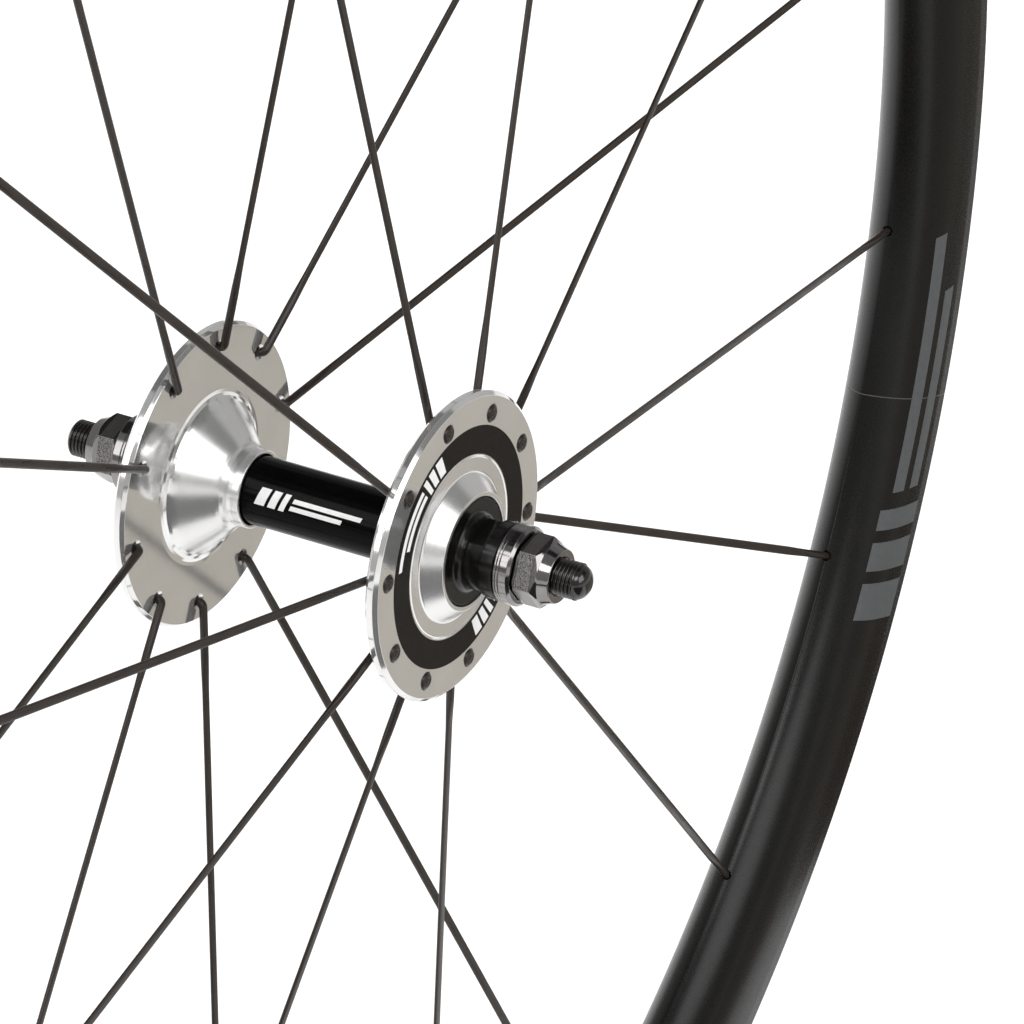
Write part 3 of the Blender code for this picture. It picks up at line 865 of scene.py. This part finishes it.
def build_washer(side):
    name = f"nut_washer_{SIDE_NAMES[side]}"
    rim, bore = reach(name), 4.8
    grooves = []
    for out in (51.75, 51.0):
        grooves += [(rim, out + 0.17, 0.04), (rim - 0.24, out, 0.04), (rim, out - 0.17, 0.04)]
    corners = [(bore, WASHER_LOW, 0.1), (bore, WASHER_HIGH, 0.1), (rim - 0.8, WASHER_HIGH, 0.1),
               (rim, WASHER_HIGH - 0.6, 0.25)] + grooves + [(rim, WASHER_LOW, 0.25)]
    dress(turned(f"{name}_detail", corners, side), "chrome", name)


def build_nut(side):
    """A hexagon with a turned foot and a conical nose."""
    name = f"track_nut_{SIDE_NAMES[side]}"
    bore = THREAD_RADIUS + 0.04
    corners = [(bore, NUT_LOW, 0.15), (8.0, NUT_LOW, 0.1), (HEX_CORNER, NUT_LOW + 0.6, 0),
               (HEX_CORNER, HEX_END, 0), (7.35, 60.7, 0.4), (6.4, NUT_HIGH, 0.3),
               (bore + 0.35, NUT_HIGH, 0.1), (bore, NUT_HIGH - 0.4, 0.1)]
    nut = turned(f"{name}_detail", corners, side, steps=192)
    bm = bmesh.new()
    bmesh.ops.create_cone(bm, cap_ends=True, segments=6, radius1=HEX_CORNER * MM, radius2=HEX_CORNER * MM,
                          depth=(NUT_HIGH - NUT_LOW + 4) * MM)
    upright = [e for e in bm.edges if abs(e.verts[0].co.z - e.verts[1].co.z) > MM]
    bmesh.ops.bevel(bm, geom=upright, offset=0.16 * MM, segments=3, affect="EDGES")
    hexagon = new_object("hexagon", bm)
    hexagon.matrix_world = (axis_frame(side, corner_angle(side) + 30.0)
                            @ Matrix.Translation((0, 0, (NUT_LOW + NUT_HIGH) / 2 * MM)))
    bpy.context.view_layer.update()
    cut(nut, hexagon, "INTERSECT")
    dress(nut, "chrome", name)


# stage ------------------------------------------------------------------------------------------

def build_camera():
    """The camera looks at the hub from the near side, above and to the left, through a long lens."""
    azimuth, elevation = math.radians(-59.665), math.radians(29.1287)
    back = Vector((math.sin(azimuth) * math.cos(elevation), -math.cos(azimuth) * math.cos(elevation),
                   math.sin(elevation)))
    right = Vector((math.cos(azimuth), math.sin(azimuth), 0.0))
    up = back.cross(right)
    distance, to_right, to_up = 1691.52, 43.26, -0.68
    camera_data = bpy.data.cameras.new("camera")
    camera_data.sensor_width = 36.0
    camera_data.lens = 254.74
    camera_data.clip_start, camera_data.clip_end = 0.05, 50.0
    camera = bpy.data.objects.new("camera", camera_data)
    bpy.context.scene.collection.objects.link(camera)
    camera.location = (back * distance + right * to_right + up * to_up) * MM
    camera.rotation_mode = "QUATERNION"
    camera.rotation_quaternion = Matrix((right, up, back)).transposed().to_quaternion()
    bpy.context.scene.camera = camera


def flat_sheet(name, centre, normal, width, height, spin=0.0):
    """A rectangle facing along normal."""
    bm = bmesh.new()
    turn = Vector(normal).to_track_quat("Z", "Y").to_matrix().to_4x4() @ Matrix.Rotation(spin, 4, "Z")
    size = Matrix.Diagonal((width, height, 1.0, 1.0))
    bmesh.ops.create_grid(bm, x_segments=1, y_segments=1, size=0.5,
                          matrix=Matrix.Translation(centre) @ turn @ size)
    mesh = bpy.data.meshes.new(name)
    bm.to_mesh(mesh)
    bm.free()
    obj = bpy.data.objects.new(name, mesh)
    bpy.context.scene.collection.objects.link(obj)
    return obj


def card(name, centre, normal, width, height, colour, strength=1.0, spin=0.0):
    """A studio card or softbox that shows only in reflections."""
    obj = flat_sheet(name, centre, normal, width, height, spin)
    material = bpy.data.materials.new(name)
    material.use_nodes = True
    tree = material.node_tree
    tree.nodes.clear()
    glow = tree.nodes.new("ShaderNodeEmission")
    glow.inputs["Color"].default_value = (*colour, 1.0)
    glow.inputs["Strength"].default_value = strength
    output = tree.nodes.new("ShaderNodeOutputMaterial")
    tree.links.new(glow.outputs[0], output.inputs[0])
    obj.data.materials.append(material)
    obj.visible_camera = False
    obj.visible_diffuse = False
    obj.visible_shadow = False
    obj.visible_transmission = False
    return obj


def build_floor(level):
    floor = flat_sheet("floor", (0, 0, level), (0, 0, 1), 30, 30)
    finish = Finish("floor", (0.93, 0.93, 0.93), 0.7)
    finish.vary_colour(finish.noise(1.5), (0.925, 0.925, 0.925), (0.945, 0.945, 0.945))
    finish.shader.inputs["Specular IOR Level"].default_value = 0.1
    floor.data.materials.append(finish.material)


def build_world():
    """White to the eye and to matt surfaces; a dim grey studio in reflections."""
    world = bpy.data.worlds.new("studio")
    bpy.context.scene.world = world
    world.use_nodes = True
    tree = world.node_tree
    tree.nodes.clear()
    place = tree.nodes.new("ShaderNodeTexCoord")
    split = tree.nodes.new("ShaderNodeSeparateXYZ")
    tree.links.new(place.outputs["Generated"], split.inputs[0])
    ramp = tree.nodes.new("ShaderNodeValToRGB")
    tree.links.new(split.outputs["Z"], ramp.inputs[0])
    stops = ramp.color_ramp.elements
    stops[0].position, stops[0].color = 0.0, (0.36, 0.355, 0.345, 1)
    stops[1].position, stops[1].color = 1.0, (0.30, 0.305, 0.315, 1)
    middle = stops.new(0.35)
    middle.color = (0.40, 0.40, 0.40, 1)
    studio = tree.nodes.new("ShaderNodeBackground")
    tree.links.new(ramp.outputs[0], studio.inputs["Color"])
    plain = tree.nodes.new("ShaderNodeBackground")
    plain.inputs["Color"].default_value = (1, 1, 1, 1)
    plain.inputs["Strength"].default_value = 1.0
    rays = tree.nodes.new("ShaderNodeLightPath")
    mix = tree.nodes.new("ShaderNodeMixShader")
    tree.links.new(rays.outputs["Is Glossy Ray"], mix.inputs[0])
    tree.links.new(plain.outputs[0], mix.inputs[1])
    tree.links.new(studio.outputs[0], mix.inputs[2])
    output = tree.nodes.new("ShaderNodeOutputWorld")
    tree.links.new(mix.outputs[0], output.inputs[0])


def area_light(name, location, target, size, power):
    data = bpy.data.lights.new(name, "AREA")
    data.shape = "DISK"
    data.size = size
    data.energy = power
    lamp = bpy.data.objects.new(name, data)
    bpy.context.scene.collection.objects.link(lamp)
    lamp.location = location
    lamp.rotation_mode = "QUATERNION"
    lamp.rotation_quaternion = (Vector(location) - Vector(target)).to_track_quat("Z", "Y")
    lamp.visible_camera = False
    lamp.visible_glossy = False


def build_studio():
    """Cards and softboxes stand in a ring round the wheel; the strip card keeps the rim's side dark."""
    level = cad_box[0].z - 0.0004
    build_floor(level)
    build_world()
    above = level + 0.002
    card("key_softbox", (-0.20, -1.25, 0.62), (0.16, 0.90, -0.43), 0.9, 0.75, (1, 1, 1), 3.2)
    card("left_softbox", (-0.97, 0.55, 0.71), (0.72, -0.441, -0.53), 0.6, 0.9, (1, 1, 1), 3.0)
    card("front_softbox", (-0.63, -0.39, 0.71), (0.65, 0.3, -0.7), 0.5, 0.4, (1, 1, 1), 5.0)
    card("warm_card", (0.85, -0.62, above), (0, 0, 1), 1.3, 0.95, (0.44, 0.408, 0.358))
    card("strip_card", (0.72, -0.24, above + 0.001), (0, 0, 1), 0.8, 0.13, (0.14, 0.12, 0.10), spin=-0.485)
    card("upper_card", (0.36, 0.38, 1.20), (-0.28, -0.29, -0.92), 1.3, 1.2, (0.035, 0.033, 0.032))
    card("right_card", (0.72, -1.05, 0.86), (-0.47, 0.68, -0.56), 0.8, 0.8, (0.09, 0.09, 0.09))
    card("dark_card", (-0.62, -0.68, above), (0, 0, 1), 1.2, 0.95, (0.055, 0.055, 0.058))
    area_light("floor_light", (0.9, 0.7, 1.2), (0.5, 0.25, level), 1.2, 9.0)
    area_light("soft_light", (-0.6, -0.9, 1.5), (0, 0, 0), 1.4, 10.0)


build_rim()
build_spokes()
build_barrel()
build_axle()
for wheel_side in (NEAR, FAR):
    build_flange(wheel_side)
    build_label(wheel_side)
    stripe_mark(f"label_mark_{SIDE_NAMES[wheel_side]}", on_label(wheel_side), "mark_white", turn=0.4)
    stripe_mark(f"rim_mark_{SIDE_NAMES[wheel_side]}", on_rim(wheel_side), "mark_grey", turn=-0.6)
    build_bearing(wheel_side)
    build_end_cap(wheel_side)
    build_washer(wheel_side)
    build_nut(wheel_side)
build_camera()
build_studio()
bpy.context.scene.view_settings.view_transform = "Standard"
